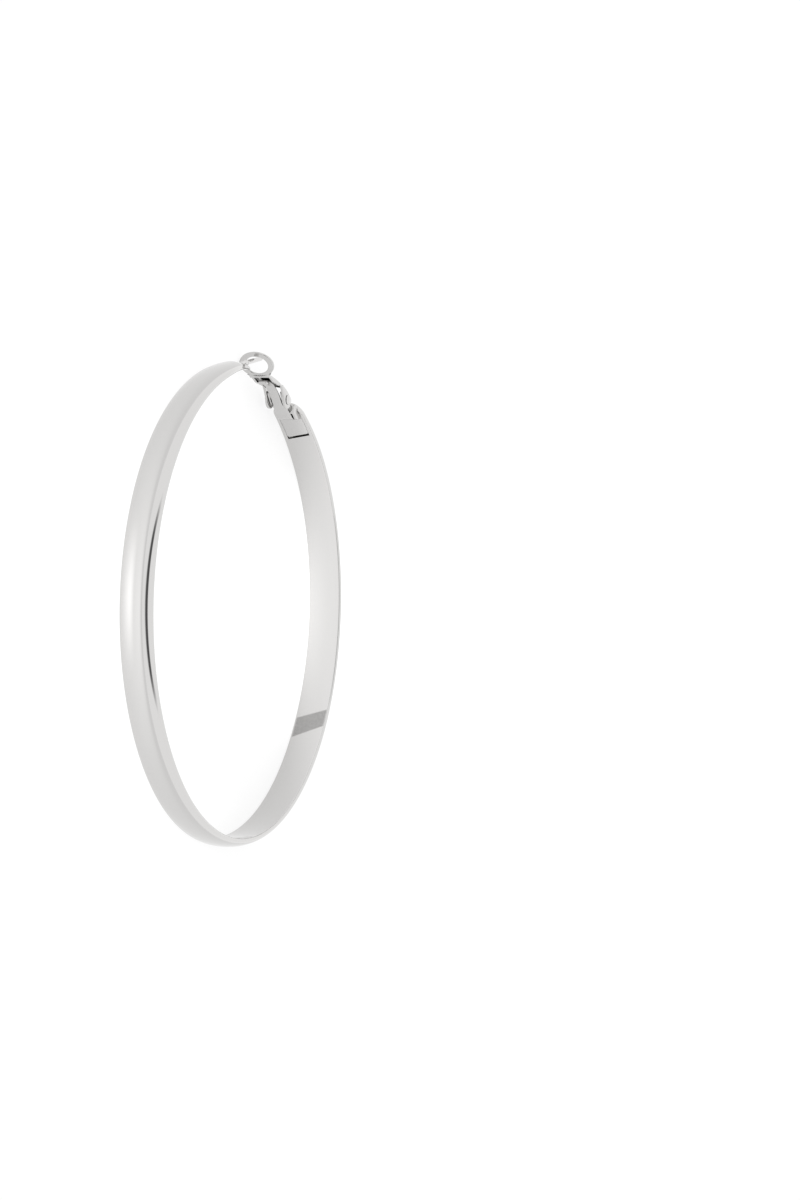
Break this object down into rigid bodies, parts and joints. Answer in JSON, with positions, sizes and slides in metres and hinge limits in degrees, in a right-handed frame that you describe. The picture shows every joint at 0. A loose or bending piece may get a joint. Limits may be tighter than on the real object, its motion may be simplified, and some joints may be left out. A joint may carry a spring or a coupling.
{
  "type": "hoop earring",
  "caption": "Wide polished metal hoop earring with a domed band, straight ear post and hinged oval loop clasp on a riveted spring plate.",
  "frame": {"origin": "centre of the bounding box's underside, about the centre of the hoop; the hoop lies on its side", "axes": "+Z along the hoop's axis, +Y towards the clasp and the opening, +X to the hinged side of the opening"},
  "size_m": [0.08, 0.0823, 0.0062],
  "materials": {
    "band_steel": "mirror polished",
    "clasp_steel": "polished"
  },
  "bodies": {
    "hoop": {"hoop_band": "band_steel", "clasp_plate": "clasp_steel", "hinge_rivet": "clasp_steel"},
    "loop": {"loop_clip": "clasp_steel"}
  },
  "joints": [
    {"name": "clip_hinge", "type": "hinge", "parent": "hoop", "child": "loop", "pos_m": [0.01634, 0.03351, 0.00308], "axis": [0, 0, 1], "range_deg": [-90, 0]}
  ]
}
